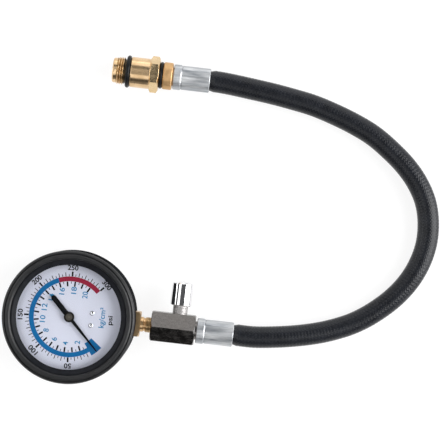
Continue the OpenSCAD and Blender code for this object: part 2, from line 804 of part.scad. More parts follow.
module movement_pillars() {
    color("#b08d4a") translate([0, 0, gears_z]) {
        for (s = [-1, 1]) translate([post_at[0], s * post_at[1], 0]) difference() {
            cylinder(r = pillar_r, h = plate_gap);
            translate([0, 0, -cut]) cylinder(r = dial_screw_r + running, h = plate_gap + 2 * cut);
        }
        translate([far_pillar[0], far_pillar[1], 0]) cylinder(r = pillar_r, h = plate_gap);
    }
}

module dial_posts() {
    color("#b08d4a") translate([0, 0, top_z + plate_t])
        for (s = [-1, 1]) translate([post_at[0], s * post_at[1], 0]) difference() {
            cylinder(r = pillar_r, h = post_h);
            translate([0, 0, -cut]) cylinder(r = dial_screw_r + running, h = post_h + 2 * cut);
        }
}

module movement_screws() {
    depth = 2.4;
    color("#c9cbcf") for (s = [-1, 1]) translate([plate_screw_at[0], s * plate_screw_at[1], 0]) {
        translate([0, 0, base_z - depth]) cylinder(r = dial_screw_r, h = depth + plate_t + bite);
        translate([0, 0, gears_z]) cylinder(r = dial_head_r, h = dial_head_h);
    }
}

// A flat spiral that keeps the gears hard against one side of their teeth
module hairspring() {
    turns = 4.5;
    per_turn = 20;
    start_r = collet_r + 0.1;
    pitch = 1.1;
    strip = 0.16;
    strip_h = 0.5;
    strip_z = collet_z + (collet_h - strip_h) / 2;
    stud_r = 0.5;
    steps = turns * per_turn;
    spiral_r = function(i) start_r + pitch * i / per_turn;
    bearing = function(i) 200 + 360 * i / per_turn;
    end = spiral_r(steps) * [cos(bearing(steps)), sin(bearing(steps))];
    color("#8d8f96") {
        translate([0, 0, strip_z]) linear_extrude(strip_h) polygon(concat(
            [for (i = [0:steps]) spiral_r(i) * [cos(bearing(i)), sin(bearing(i))]],
            [for (i = [steps:-1:0]) (spiral_r(i) + strip) * [cos(bearing(i)), sin(bearing(i))]]
        ));
        translate([end[0], end[1], strip_z]) cylinder(r = stud_r, h = top_z - strip_z);
    }
}

module oval(height, width) {
    square([width, height - width], center = true);
    for (s = [-1, 1]) translate([0, s * (height - width) / 2]) circle(d = width, $fn = ring_sides);
}

module pressure_tube() {
    color("#b98f52") translate([0, 0, stem_z]) rotate(tip_angle)
        rotate_extrude(angle = 360 - tube_root - tip_angle) translate([tube_r, 0]) difference() {
            oval(tube_h, tube_w);
            oval(tube_h - 2 * tube_wall, tube_w - 2 * tube_wall);
        }
}

module tube_tip() {
    lug_w = 2.6;
    cap_r = tube_r - tube_w / 2;
    color("#b58f48") {
        translate([0, 0, stem_z]) rotate(tip_angle - tip_cap_deg) rotate_extrude(angle = tip_cap_deg)
            translate([tube_r, 0]) oval(tube_h, tube_w);
        translate([tip_pin[0], tip_pin[1], sector_z]) linear_extrude(sector_t) {
            circle(d = lug_w);
            translate([-lug_w / 2, 0]) square([lug_w, cap_r * sin(tip_angle) - tip_pin[1]]);
        }
        translate([tip_pin[0], tip_pin[1], sector_z])
            cylinder(r = tail_pin_r, h = link_z + link_t + pin_over - sector_z);
    }
}

// The link's hole on the sector's pin is wide, because the pin swings while the link slides
module link() {
    bar_w = 2;
    open_r = tail_pin_r + link_play;
    color("#c2a35c") translate([0, 0, link_z]) difference() {
        linear_extrude(link_t) union() {
            translate(tail_pin) circle(r = link_end_r);
            translate(tip_pin) circle(r = link_end_r);
            translate([tail_pin[0], tail_pin[1] - bar_w / 2]) square([tip_pin[0] - tail_pin[0], bar_w]);
        }
        translate([tail_pin[0], tail_pin[1], -cut]) cylinder(r = open_r, h = link_t + 2 * cut);
        translate([tip_pin[0], tip_pin[1], -cut]) cylinder(r = tail_pin_r + running, h = link_t + 2 * cut);
    }
}

// Stem

module stem_socket() {
    edge = 1;
    groove_x = 0.27 * stem_out;
    groove_w = 1.1;
    groove_r = stem_r - 0.6;
    groove_slope = 0.4;
    stem_len = stem_end - socket_end;
    root_z = stem_z - socket_h / 2;
    pocket_lead = 20;
    pocket_from = tube_root + pocket_lead;
    pocket_past = 4;
    bar_len = socket_end - socket_in;
    bar_corner = norm([socket_w, socket_h]) / 2;
    bar_land = socket_w / 2 + bite;
    bar_bevel = (bar_corner - bar_land) * tan(bevel_deg);
    color("#b3924f") difference() {
        union() {
            intersection() {
                translate([socket_in, -socket_w / 2, root_z]) cube([bar_len, socket_w, socket_h]);
                translate([socket_in, 0, stem_z]) turned_x([
                    [0, 0], [bar_corner, 0], [bar_corner, bar_len - bar_bevel], [bar_land, bar_len],
                    [0, bar_len]
                ]);
            }
            translate([tongue_in, -tongue_w / 2, base_z - tongue_t])
                cube([socket_in - tongue_in + bite, tongue_w, tongue_t]);
            translate([socket_in, -foot_w / 2, case_floor])
                cube([foot_end - socket_in, foot_w, root_z - case_floor + bite]);
            translate([socket_end, 0, stem_z]) turned_x([
                [0, -bite], [stem_r, -bite], [stem_r, groove_x], [groove_r, groove_x + groove_slope],
                [groove_r, groove_x + groove_w], [stem_r, groove_x + groove_w + groove_slope],
                [stem_r, stem_len - edge], [stem_r - edge, stem_len], [0, stem_len]
            ]);
        }
        translate([tube_r - tube_w / 4, 0, stem_z]) rotate([0, 90, 0])
            cylinder(d = stem_bore_d, h = stem_end);
        translate([0, 0, stem_z]) rotate(-pocket_from) rotate_extrude(angle = pocket_from + pocket_past)
            translate([tube_r, 0]) oval(tube_h + 2 * fit, tube_w + 2 * fit);
        for (s = [-1, 1]) translate([plate_screw_at[0], s * plate_screw_at[1], base_z - tongue_t - cut])
            cylinder(r = dial_screw_r + running, h = tongue_t + 2 * cut);
        for (x = case_screw_at) translate([x, 0, case_floor - cut])
            cylinder(r = case_screw_r + thread_fit, h = case_screw_depth + cut + fit);
    }
}

module case_screws() {
    color("#c9cbcf") for (x = case_screw_at) translate([x, 0, boot_back - case_head_h]) {
        cylinder(r = case_screw_r, h = case_head_h + case_wall + case_screw_depth);
        cylinder(r = case_head_r, h = case_head_h);
    }
}

// Block and release valve

module valve_block() {
    color("#6d6a67") difference() {
        translate([block_x, 0, stem_z]) rotate([0, 90, 0]) hex_bar(block_af, block_len);
        translate([block_x - cut, 0, stem_z]) rotate([0, 90, 0]) {
            cylinder(r = stem_r + thread_fit, h = stem_in + thread_end_room + cut);
            cylinder(r = passage_r, h = block_len + cut);
        }
        translate([nipple_bore_x, 0, stem_z]) rotate([0, 90, 0])
            cylinder(r = stem_r + thread_fit, h = block_end - nipple_bore_x + cut);
        on_valve_axis() {
            translate([0, 0, seat_y]) cylinder(r = insert_hole_r, h = flat_y);
            translate([0, 0, chamber_y]) cylinder(r = chamber_r, h = flat_y - chamber_y);
        }
    }
}

module release_valve_body() {
    edge = 0.4;
    color("#8b8682") on_valve_axis() difference() {
        rotate_extrude() polygon([
            [0, seat_y], [insert_r - edge, seat_y], [insert_r, seat_y + edge], [insert_r, flat_y],
            [neck_r, flat_y], [neck_r, neck_top_y - edge], [neck_r - edge, neck_top_y], [0, neck_top_y]
        ]);
        translate([0, 0, seat_y - cut])
            cylinder(r = plunger_r + running, h = neck_top_y - seat_y + 2 * cut);
    }
}

module release_button() {
    edge = 0.5;
    dome_r = (pow(button_r - edge, 2) + pow(button_dome, 2)) / (2 * button_dome);
    color("#dcdde0") on_valve_axis() difference() {
        union() {
            rotate_extrude() polygon([
                [0, skirt_y], [button_r - edge, skirt_y], [button_r, skirt_y + edge],
                [button_r, crown_y - edge], [button_r - edge, crown_y], [0, crown_y]
            ]);
            translate([0, 0, crown_y]) rotate_extrude() intersection() {
                translate([0, button_dome - dome_r]) circle(r = dome_r, $fn = 128);
                translate([0, -bite]) square([button_r - edge, button_dome + bite]);
            }
        }
        translate([0, 0, skirt_y - cut]) cylinder(r = cavity_r, h = cavity_top_y - skirt_y + cut);
        translate([0, 0, cavity_top_y - cut]) cylinder(r = plunger_r, h = crown_t / 2 + cut);
    }
}

module release_plunger() {
    foot_y = seat_y - seal_t - plunger_foot_t;
    color("#b9b6b0") on_valve_axis() {
        translate([0, 0, foot_y]) cylinder(r = plunger_foot_r, h = plunger_foot_t);
        translate([0, 0, foot_y]) cylinder(r = plunger_r, h = cavity_top_y + crown_t / 2 - foot_y);
    }
}

module plunger_seal() {
    color("#26272a") on_valve_axis() translate([0, 0, seat_y - seal_t]) difference() {
        cylinder(r = plunger_foot_r, h = seal_t);
        translate([0, 0, -cut]) cylinder(r = plunger_r, h = seal_t + 2 * cut);
    }
}

module release_spring() {
    color("#a5a7ab") on_valve_axis() translate([0, 0, neck_top_y])
        coil((cavity_r + plunger_r) / 2, button_wire, spring_len, button_turns);
}

// Hose, nipples and ferrules

// Barbs that point along -Z from z = 0, as a profile of [radius, z] from the bore outwards
function barbs(length) = [
    for (i = [0:barb_count - 1])
        let(a = -length + i * length / barb_count, b = a + length / barb_count)
            each [[barb_root_r, a], [barb_r, b - barb_land], [barb_root_r, b - barb_back]]
];

module block_nipple() {
    edge = 0.8;
    flange_t1 = ferrule_len + nipple_flange_t;
    thread_t1 = flange_t1 + nipple_thread_len;
    color("#7b7875") on_block_end() difference() {
        rotate_extrude() polygon(concat(
            [[0, hose_in - barb_reach]],
            [for (p = barbs(barb_reach)) [p[0], p[1] + hose_in]],
            [
                [barb_root_r, hose_in], [nipple_neck_r, hose_in], [nipple_neck_r, ferrule_len],
                [nipple_flange_r, ferrule_len], [nipple_flange_r, flange_t1], [stem_r, flange_t1],
                [stem_r, thread_t1 - edge], [stem_r - edge, thread_t1], [0, thread_t1]
            ]
        ));
        cylinder(r = nipple_bore_r, h = thread_t1 + cut);
    }
}

module ferrule() {
    edge = 0.5;
    slope = 1.2;
    mouth_r = crimp_d / 2 - edge;
    difference() {
        union() {
            intersection() {
                linear_extrude(crimp_len) circle(d = crimp_af / cos(180 / crimp_sides), $fn = crimp_sides);
                rotate_extrude() polygon([
                    [0, 0], [mouth_r, 0], [crimp_d / 2, edge], [crimp_d / 2, crimp_len], [0, crimp_len]
                ]);
            }
            rotate_extrude() polygon([
                [0, crimp_len - bite], [mouth_r, crimp_len - bite], [mouth_r, crimp_len],
                [ferrule_d / 2, crimp_len + slope], [ferrule_d / 2, ferrule_len - edge],
                [ferrule_d / 2 - edge, ferrule_len], [0, ferrule_len]
            ]);
        }
        translate([0, 0, -cut]) cylinder(r = gripped_r + hose_room, h = hose_in + cut);
        cylinder(r = nipple_neck_r + thread_fit, h = ferrule_len + cut);
    }
}

module block_ferrule() { color("#c3c6c9") on_block_end() ferrule(); }

module end_ferrule() { color("#c3c6c9") on_hose_end() ferrule(); }

module hose() { color("#1c1d20") swept_tube(hose_route, hose_radii, hose_bore_d / 2, hose_sides); }

// Hose end and adapter

module hose_end_nipple() {
    edge = 0.6;
    lead = 0.8;
    collar_r = collar_d / 2;
    color("#b8924c") on_hose_end() difference() {
        rotate_extrude() polygon(concat(
            [[0, hose_in - barb_reach]],
            [for (p = barbs(barb_reach)) [p[0], p[1] + hose_in]],
            [
                [barb_root_r, hose_in], [nipple_neck_r, hose_in], [nipple_neck_r, ferrule_len],
                [nipple_flange_r, ferrule_len], [nipple_flange_r, collar_t0], [collar_r - edge, collar_t0],
                [collar_r, collar_t0 + edge], [collar_r, collar_t1 - edge], [collar_r - edge, collar_t1],
                [small_neck_r, collar_t1], [small_neck_r, hex_t0], [small_thread_r, hex_t0 + lead],
                [small_thread_r, small_thread_t1 - edge], [small_thread_r - edge, small_thread_t1],
                [0, small_thread_t1]
            ]
        ));
        cylinder(r = nipple_bore_r, h = small_thread_t1 + cut);
        translate([0, 0, core_chamber_t]) cylinder(r = core_r + thread_fit, h = small_thread_t1);
    }
}

module nipple_seal_ring() {
    color("#202124") on_hose_end() translate([0, 0, (collar_t1 + hex_t0) / 2])
        seal_ring(small_neck_r + running, small_ring_t);
}

module plug_adapter() {
    edge = 1.2;
    body_r = adapter_d / 2;
    thread_r = plug_thread_d / 2;
    color("#c09a52") on_hose_end() difference() {
        union() {
            translate([0, 0, hex_t0]) hex_bar(adapter_af, adapter_hex, twist = 30);
            rotate_extrude() polygon([
                [0, hex_t1 - cut], [body_r, hex_t1 - cut], [body_r, body_t1 - edge / 2],
                [body_r - edge / 2, body_t1], [plug_neck_r, body_t1], [plug_neck_r, thread_t0],
                [thread_r, thread_t0], [thread_r, tip_t - edge], [thread_r - edge, tip_t], [0, tip_t]
            ]);
        }
        translate([0, 0, hex_t0 - cut])
            cylinder(r = small_thread_r + thread_fit, h = socket_t1 - hex_t0 + cut);
        cylinder(d = adapter_bore_d, h = tip_t + cut);
    }
}

module adapter_seal_ring() {
    color("#202124") on_hose_end() translate([0, 0, plug_ring_mid])
        seal_ring(plug_ring_in, plug_ring_t);
}

// Valve core

module valve_core() {
    color("#c9a24d") on_hose_end() difference() {
        translate([0, 0, core_seat_t]) cylinder(r = core_r, h = core_len);
        translate([0, 0, core_seat_t - cut]) cylinder(r = core_pin_r + running, h = core_len + 2 * cut);
        translate([0, 0, core_mouth_t - core_pocket_deep])
            cylinder(r = core_pocket_r, h = core_pocket_deep + cut);
    }
}

module valve_core_pin() {
    color("#c8cace") on_hose_end() {
        translate([0, 0, core_seat_t - core_cup_t]) {
            cylinder(r = core_cup_r, h = core_cup_t);
            cylinder(r = core_pin_r, h = core_cup_t + core_len + bite);
        }
        translate([0, 0, core_mouth_t]) cylinder(r = core_head_r, h = core_head_h);
    }
}

module valve_core_spring() {
    color("#a5a7ab") on_hose_end() translate([0, 0, core_mouth_t - core_pocket_deep])
        coil((core_head_r + core_pin_r + thread_fit) / 2, core_wire, core_pocket_deep, core_turns);
}

rubber_boot();
gauge_case();
bezel_ring();
lens_gasket();
lens();
dial();
dial_print_black();
dial_print_blue();
dial_print_red();
dial_screws();
needle();
needle_hub();
pinion_shaft();
sector_gear();
movement_base_plate();
movement_top_plate();
movement_pillars();
dial_posts();
movement_screws();
hairspring();
pressure_tube();
tube_tip();
link();
stem_socket();
case_screws();
valve_block();
release_valve_body();
release_button();
release_plunger();
plunger_seal();
release_spring();
block_nipple();
block_ferrule();
hose();
end_ferrule();
hose_end_nipple();
nipple_seal_ring();
plug_adapter();
adapter_seal_ring();
valve_core();
valve_core_pin();
valve_core_spring();
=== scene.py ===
"""Looks of the compression tester: materials of its solids, and hose, threads, coils and dial print."""

import json
import math

import bmesh
import bpy
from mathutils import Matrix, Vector

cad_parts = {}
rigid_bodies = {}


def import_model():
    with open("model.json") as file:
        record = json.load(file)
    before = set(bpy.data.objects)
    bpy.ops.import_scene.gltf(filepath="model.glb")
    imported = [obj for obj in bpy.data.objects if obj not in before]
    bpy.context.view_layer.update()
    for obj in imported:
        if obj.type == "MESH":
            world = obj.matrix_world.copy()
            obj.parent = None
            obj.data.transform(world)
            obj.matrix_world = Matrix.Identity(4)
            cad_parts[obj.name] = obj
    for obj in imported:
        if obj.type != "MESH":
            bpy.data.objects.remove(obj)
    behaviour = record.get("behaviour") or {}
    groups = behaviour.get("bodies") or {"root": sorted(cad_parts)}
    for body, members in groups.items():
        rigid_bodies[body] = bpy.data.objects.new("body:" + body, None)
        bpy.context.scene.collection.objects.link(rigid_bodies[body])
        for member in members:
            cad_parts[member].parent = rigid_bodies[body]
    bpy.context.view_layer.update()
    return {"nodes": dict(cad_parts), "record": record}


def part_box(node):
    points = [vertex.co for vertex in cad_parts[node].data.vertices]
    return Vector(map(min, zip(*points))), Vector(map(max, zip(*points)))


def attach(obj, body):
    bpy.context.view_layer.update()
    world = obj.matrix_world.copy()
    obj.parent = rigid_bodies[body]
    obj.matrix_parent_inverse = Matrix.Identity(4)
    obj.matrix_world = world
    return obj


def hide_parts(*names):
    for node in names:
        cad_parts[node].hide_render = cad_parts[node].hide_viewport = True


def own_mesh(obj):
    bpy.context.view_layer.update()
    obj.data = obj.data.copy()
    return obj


for old in list(bpy.data.objects):
    bpy.data.objects.remove(old)
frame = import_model()
nodes = frame["nodes"]
scene = bpy.context.scene
scene.view_settings.view_transform = "Standard"

MM = 0.001
TURN = 2 * math.pi


def span(node):
    """Lowest and highest corner of a solid, in millimetres."""
    return [Vector(corner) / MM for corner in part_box(node)]


# Places that the solids have, in millimetres
block_low, block_high = span("valve_block")
button_low, button_high = span("release_button")
button_spring_low, button_spring_high = span("release_spring")
adapter_low, adapter_high = span("plug_adapter")
core_spring_low, core_spring_high = span("valve_core_spring")
STEM_Z = (block_low.z + block_high.z) / 2
VALVE_X = (button_low.x + button_high.x) / 2
END_Y = (adapter_low.y + adapter_high.y) / 2
END_Z = (adapter_low.z + adapter_high.z) / 2
INK_Z = span("dial")[1].z


# Camera: straight down, turned so that the stem falls to the right as in the photo
CAMERA_AT = (89.5, 73.3, 1100.0)
CAMERA_TURN = 6.6
CAMERA_SENSOR = 36
CAMERA_LENS = 136.1
camera_data = bpy.data.cameras.new("camera")
camera_data.sensor_width = CAMERA_SENSOR
camera_data.lens = CAMERA_LENS
camera = bpy.data.objects.new("camera", camera_data)
camera.location = Vector(CAMERA_AT) * MM
camera.rotation_euler = (0, 0, math.radians(CAMERA_TURN))
scene.collection.objects.link(camera)
scene.camera = camera


# Meshes: the angle in degrees above which an edge stays hard, on most pieces and on tubes
HARD_EDGE = 32
TUBE_EDGE = 60


def piece(name, points, faces, hard_edge=HARD_EDGE):
    """A closed mesh from points in millimetres, smooth except at its hard edges."""
    mesh = bpy.data.meshes.new(name)
    mesh.from_pydata([Vector(p) * MM for p in points], [], faces)
    work = bmesh.new()
    work.from_mesh(mesh)
    bmesh.ops.recalc_face_normals(work, faces=work.faces)
    work.to_mesh(mesh)
    work.free()
    mesh.shade_smooth()
    mesh.set_sharp_from_angle(angle=math.radians(hard_edge))
    obj = bpy.data.objects.new(name, mesh)
    scene.collection.objects.link(obj)
    return obj


def skin(rows, sides, closed=False):
    """Quads between rows of points that go around; a closed skin joins its last row to its first."""
    faces = []
    for i in range(rows if closed else rows - 1):
        j = (i + 1) % rows
        for k in range(sides):
            n = (k + 1) % sides
            faces.append((i * sides + k, i * sides + n, j * sides + n, j * sides + k))
    return faces


def tube_skin(rows, sides):
    """Quads between rows of points that go around, and a flat face on both ends."""
    first = tuple(range(sides))
    last = tuple(range((rows - 1) * sides, rows * sides))
    return skin(rows, sides) + [first[::-1], last]


def turned(name, profile, place, sides):
    """A ring turned from a closed profile of (station, radius); a radius may vary with the angle."""
    points = []
    for station, radius in profile:
        for k in range(sides):
            angle = TURN * k / sides
            r = radius(angle) if callable(radius) else radius
            points.append(place(station, angle, r))
    return piece(name, points, skin(len(profile), sides, closed=True))


def on_end(t, angle, r):
    """A place about the hose end's axis, t millimetres from the adapter's end at the hose."""
    return (adapter_high.x - t, END_Y + r * math.cos(angle), END_Z + r * math.sin(angle))


def on_stem(x, angle, r):
    """A place about the axis of the gauge's stem."""
    return (x, r * math.cos(angle), STEM_Z + r * math.sin(angle))


def on_valve(y, angle, r):
    """A place about the axis of the release valve."""
    return (VALVE_X + r * math.cos(angle), y, STEM_Z + r * math.sin(angle))


# Screw threads: a triangle that is stretched and lowered, so that roots and crests come out flat
VEE_STRETCH = 1.45
VEE_DROP = 0.22


def vee(turns):
    """Height of a screw thread, from 0 in its root to 1 on its crest."""
    slope = 1 - 2 * abs(turns % 1 - 0.5)
    return min(1, max(0, VEE_STRETCH * slope - VEE_DROP))


def thread(start, end, pitch, root, crest, rows_per_turn, fade):
    """Profile rows of a screw thread, of whose height the share fade(station) stands."""
    steps = round((end - start) / pitch * rows_per_turn)
    rows = []
    for i in range(steps + 1):
        t = start + (end - start) * i / steps
        rows.append((t, lambda a, t=t, f=fade(t): root + (crest - root) * f * vee(t / pitch - a / TURN)))
    return rows


# Hose: the route that its solid has, as one smooth tube with fine ribs from its wrapping cloth
ROUTE = [
    (88, 0, 15.5), (98, 0, 15.5), (107, 0, 15.5), (120, 0, 15), (133, 1.4, 13.9),
    (146, 3.5, 12.4), (159, 6.4, 10.7), (171, 10.2, 9.2), (184, 16, 8), (196, 24, 7.4),
    (208, 35, 7.1), (217, 47, 7.1), (223, 60, 7.1), (226, 74, 7.1), (225.5, 88, 7.1),
    (222, 101, 7.1), (215, 113, 7.1), (206, 123, 7.1), (195, 132, 7.1), (183, 140, 7.1),
    (170, 146, 7.1), (156, 151, 7.2), (142, 155, 7.5), (128, 157.5, 8.1), (114, 159.5, 8.9),
    (100, 161, 9.7), (88, 162.2, 10.3), (80, 162.8, 10.5), (73, 163, 10.6), (63, 163, 10.6),
    (54, 163, 10.6),
]
HOSE_R = 7.1
HOSE_SIDES = 32
HOSE_MAP = "along"

# Under each ferrule the hose is squeezed to this radius and length, and swells out beside it
GRIPPED_R = 6.5
GRIPPED_LEN = 19.0
SWELL_LEN = 2.5

# Ribs across the hose, each of six rows of points, and pips around it
RIB_PITCH = 2.16
RIB_H = 0.08
HOSE_STEP = RIB_PITCH / 6
PIPS = 26


def smooth_line(points, steps=24):
    """Points on a smooth curve through the given ones."""
    p = [Vector(q) for q in points]
    p = [2 * p[0] - p[1]] + p + [2 * p[-1] - p[-2]]
    line = []
    for i in range(1, len(p) - 2):
        a, b, c, d = p[i - 1:i + 3]
        for k in range(steps):
            t = k / steps
            line.append(0.5 * (2 * b + (c - a) * t + (2 * a - 5 * b + 4 * c - d) * t * t
                               + (3 * b - a - 3 * c + d) * t ** 3))
    return line + [p[-2]]


def spaced(line, step):
    """The same line with its points a fixed step apart, and its length."""
    out = [line[0]]
    left = step
    total = 0.0
    for a, b in zip(line, line[1:]):
        run = (b - a).length
        at = 0.0
        while run - at >= left:
            at += left
            out.append(a.lerp(b, at / run))
            left = step
        left -= run - at
        total += run
    return out, total


hose_line, hose_length = spaced(smooth_line(ROUTE), HOSE_STEP)


def hose_radius(at):
    """Radius at a length along the hose, which is less under its ferrules and between its ribs."""
    free = min(at, hose_length - at) - GRIPPED_LEN
    share = min(1, max(0, free / SWELL_LEN))
    swollen = GRIPPED_R + (HOSE_R - GRIPPED_R) * share * share * (3 - 2 * share)
    return swollen - RIB_H * (0.5 - 0.5 * math.cos(TURN * at / RIB_PITCH))


def unroll(tube):
    """Maps the tube's skin by its length in metres and its share of a turn."""
    uv = tube.data.uv_layers.new(name=HOSE_MAP)
    for face in tube.data.polygons:
        corners = [(tube.data.loops[c].vertex_index, c) for c in face.loop_indices]
        wraps = any(v % HOSE_SIDES == HOSE_SIDES - 1 for v, _ in corners)
        for v, c in corners:
            row, k = divmod(v, HOSE_SIDES)
            if wraps and k == 0:
                k = HOSE_SIDES
            uv.data[c].uv = (row * HOSE_STEP * MM, k / HOSE_SIDES)


def make_hose():
    """The hose, with a row of points at each step along its line."""
    points = []
    last = len(hose_line) - 1
    for i, centre in enumerate(hose_line):
        along = (hose_line[min(i + 1, last)] - hose_line[max(i - 1, 0)]).normalized()
        side = Vector((0, 0, 1)).cross(along).normalized()
        up = along.cross(side)
        r = hose_radius(i * HOSE_STEP)
        for k in range(HOSE_SIDES):
            a = TURN * k / HOSE_SIDES
            points.append(centre + r * (math.cos(a) * side + math.sin(a) * up))
    tube = piece("hose_tube", points, tube_skin(len(hose_line), HOSE_SIDES), TUBE_EDGE)
    unroll(tube)
    return tube


hose = make_hose()
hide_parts("hose")
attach(hose, "root")


# Adapter: hexagon, round body, neck, an 18 mm thread and a plain tip, turned in one piece.
# Its stations count from its end at the hose
HEX_T0 = 0.0
HEX_T1 = 6.1
SOCKET_T1 = 13.0
BODY_T1 = 18.8
THREAD_T0 = 22.7
TIP_T = adapter_high.x - adapter_low.x
PILOT_LEN = 2.6
PILOT_T = TIP_T - PILOT_LEN
HEX_AF = adapter_high.z - adapter_low.z
BODY_R = 9.9
NECK_R = 7.75
SOCKET_R = 7.1
BORE_R = 3.0
ADAPTER_SIDES = 120

# Its thread stands by RUN_IN of its height at the neck, and fades over RUN_OUT at the plain tip
PLUG_R = 9.0
PLUG_PITCH = 1.5
PLUG_ROWS = 14
THREAD_H = 0.86
PILOT_R = PLUG_R - THREAD_H
RUN_IN = 0.35
RUN_OUT = 0.5

# Its bevels, and the small steps of its body as (along, outward) from the body's start and end
CORNER_CUT = 0.12
LAND_SHARE = 0.97
BEVEL_ANGLE = 30
BEVEL_STEPS = 7
MOUTH_BEVEL = 0.9
END_BEVEL = 0.3
BORE_BEVEL = 0.5
TIP_BEVEL = (0.7, 0.6)
BODY_START = [(0.0, 0.06), (0.15, -0.04), (0.3, 0.0), (0.5, 0.0)]
BODY_END = [(-0.8, 0.0), (-0.6, 0.0), (-0.3, -0.18), (0.0, -0.6)]

# Where its finish differs: painted shade in the grooves of the thread, by radius, and painted shade on
# the neck, by station
ROOT_SHADE_R = (PLUG_R - 0.95, PLUG_R - 0.5)
NECK_SHADE_T = (BODY_T1 + 0.1, THREAD_T0 + 0.2)
ADAPTER_FINISHES = ["brass", "brass_drawn", "brass_painted_neck_shade", "brass_painted_root_shade"]


def hexagon(limit):
    """Radius of the adapter's hexagon by the angle, where its corners are turned off at a limit."""
    def radius(angle):
        off = angle % (TURN / 6) - TURN / 12
        return min(HEX_AF / 2 / math.cos(off), limit)
    return radius


def plug_fade(t):
    """Share of the adapter's thread that stands at a station."""
    return min(1, RUN_IN + t - THREAD_T0, (PILOT_T - t) / RUN_OUT)


def make_adapter():
    """The adapter from one profile, which goes along its outside to the tip and back through its bore."""
    corner = HEX_AF / math.sqrt(3) - CORNER_CUT
    land = HEX_AF / 2 * LAND_SHARE
    bevel = (corner - land) * math.tan(math.radians(BEVEL_ANGLE))
    shares = [i / BEVEL_STEPS for i in range(BEVEL_STEPS + 1)]
    ramp = [(bevel * s, land + (corner - land) * s) for s in shares]
    rows = [(HEX_T0, SOCKET_R + MOUTH_BEVEL), (HEX_T0, land - END_BEVEL)]
    rows += [(HEX_T0 + t, hexagon(r)) for t, r in ramp]
    rows += [(HEX_T1 - t, hexagon(r)) for t, r in reversed(ramp)]
    rows += [(HEX_T1 + t, BODY_R + r) for t, r in BODY_START]
    rows += [(BODY_T1 + t, BODY_R + r) for t, r in BODY_END]
    rows += [(BODY_T1, NECK_R), (THREAD_T0, NECK_R)]
    rows += thread(THREAD_T0, PILOT_T, PLUG_PITCH, PILOT_R, PLUG_R, PLUG_ROWS, plug_fade)
    rows += [
        (TIP_T - TIP_BEVEL[0], PILOT_R), (TIP_T, PILOT_R - TIP_BEVEL[1]),
        (TIP_T, BORE_R + BORE_BEVEL), (TIP_T - BORE_BEVEL, BORE_R),
        (SOCKET_T1, BORE_R), (SOCKET_T1, SOCKET_R), (HEX_T0 + MOUTH_BEVEL, SOCKET_R),
    ]
    return turned("adapter_threaded", rows, on_end, ADAPTER_SIDES)


def adapter_finish(t, r):
    """Finish of the adapter at a station and a radius, with painted shade on its neck and in the roots of
    its thread.
    """
    if t < HEX_T1 and r > BODY_R:
        return "brass_drawn"
    # painted shade: the neck between body and thread is coloured near-black brass
    if NECK_SHADE_T[0] < t < NECK_SHADE_T[1]:
        return "brass_painted_neck_shade"
    # painted shade: the roots of the thread are coloured darker than its crests
    if THREAD_T0 < t < PILOT_T and ROOT_SHADE_R[0] < r < ROOT_SHADE_R[1]:
        return "brass_painted_root_shade"
    return "brass"


adapter = make_adapter()
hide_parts("plug_adapter")
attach(adapter, "adapter")


# Threads that stand on plain solids, and fade at both ends over a share of their pitch
SLEEVE_R = 4.2
SLEEVE_FADE = 0.6
SLEEVE_ROWS = 12
SLEEVE_SIDES = 72
STEM_THREAD_LEN = 3.4
NECK_MARGIN = 0.2


def sleeve(name, place, start, end, pitch, root, crest):
    """A threaded ring about a plain solid."""
    def fade(t):
        return min(1, (t - start) / (pitch * SLEEVE_FADE), (end - t) / (pitch * SLEEVE_FADE))
    rows = thread(start, end, pitch, root, crest, SLEEVE_ROWS, fade)
    return turned(name, [(start, SLEEVE_R)] + rows + [(end, SLEEVE_R)], place, SLEEVE_SIDES)


stem_thread = sleeve("stem_thread", on_stem, block_low.x - STEM_THREAD_LEN, block_low.x,
                     pitch=0.94, root=4.78, crest=5.06)
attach(stem_thread, "root")
neck_thread = sleeve("neck_thread", on_valve, block_high.y + NECK_MARGIN, button_low.y - NECK_MARGIN,
                     pitch=1.0, root=4.72, crest=4.92)
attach(neck_thread, "root")


# Springs: coils in place of the solids of the button's and the check valve's springs
COIL_STEPS = 24
WIRE_SIDES = 10


def make_spring(name, node, place, base, tip, wire, turns):
    """A coil in place of its solid, from the base that holds it to the tip that the joint presses."""
    low, high = span(node)
    mean_r = (high.z - low.z - wire) / 2
    last = turns * COIL_STEPS
    points = []
    for i in range(last + 1):
        station = base + wire / 2 + (tip - base - wire) * i / last
        for k in range(WIRE_SIDES):
            a = TURN * k / WIRE_SIDES
            points.append(place(station + wire / 2 * math.cos(a), TURN * i / COIL_STEPS,
                                mean_r + wire / 2 * math.sin(a)))
    coil = piece(name, points, tube_skin(last + 1, WIRE_SIDES), TUBE_EDGE)
    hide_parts(node)
    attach(coil, "root")
    foot = Vector(place(base, 0, 0))
    head = Vector(place(tip, 0, 0))
    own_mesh(coil)
    return coil


button_coil = make_spring("button_coil", "release_spring", on_valve,
                          button_spring_low.y, button_spring_high.y, wire=0.75, turns=4)
core_coil = make_spring("core_coil", "valve_core_spring", on_end,
                        adapter_high.x - core_spring_high.x, adapter_high.x - core_spring_low.x,
                        wire=0.35, turns=5)

[p * MM for p in hose_line]


# Print of the dial: the scale's angle at zero and for each unit, in degrees, and the inner scale's unit
DIAL_START = -40.0
DIAL_STEP = -273.5 / 300
FINE_UNIT = 14.2233
INK_T = 0.06
LETTER_DEPTH = 1.0
UPRIGHT = TURN / 4

# Units of both scales: text, height, width, centre and turn
OUTER_UNIT = ("psi", 3.9, 5.9, (26.9, 0.6), UPRIGHT)
INNER_UNIT = ("kg/cm²", 4.7, 13.2, (21.6, 1.8), UPRIGHT)

# Figures of both scales: their radius, height, width of a digit and boldness
OUTER_FIGURES = range(50, 301, 50)
OUTER_R = 31.75
OUTER_H = 3.3
OUTER_W = 2.3
OUTER_BOLD = 0.022
INNER_FIGURES = range(2, 21, 2)
INNER_R = 17.3
INNER_H = 3.5
INNER_W = 2.25
INNER_BOLD = 0.014


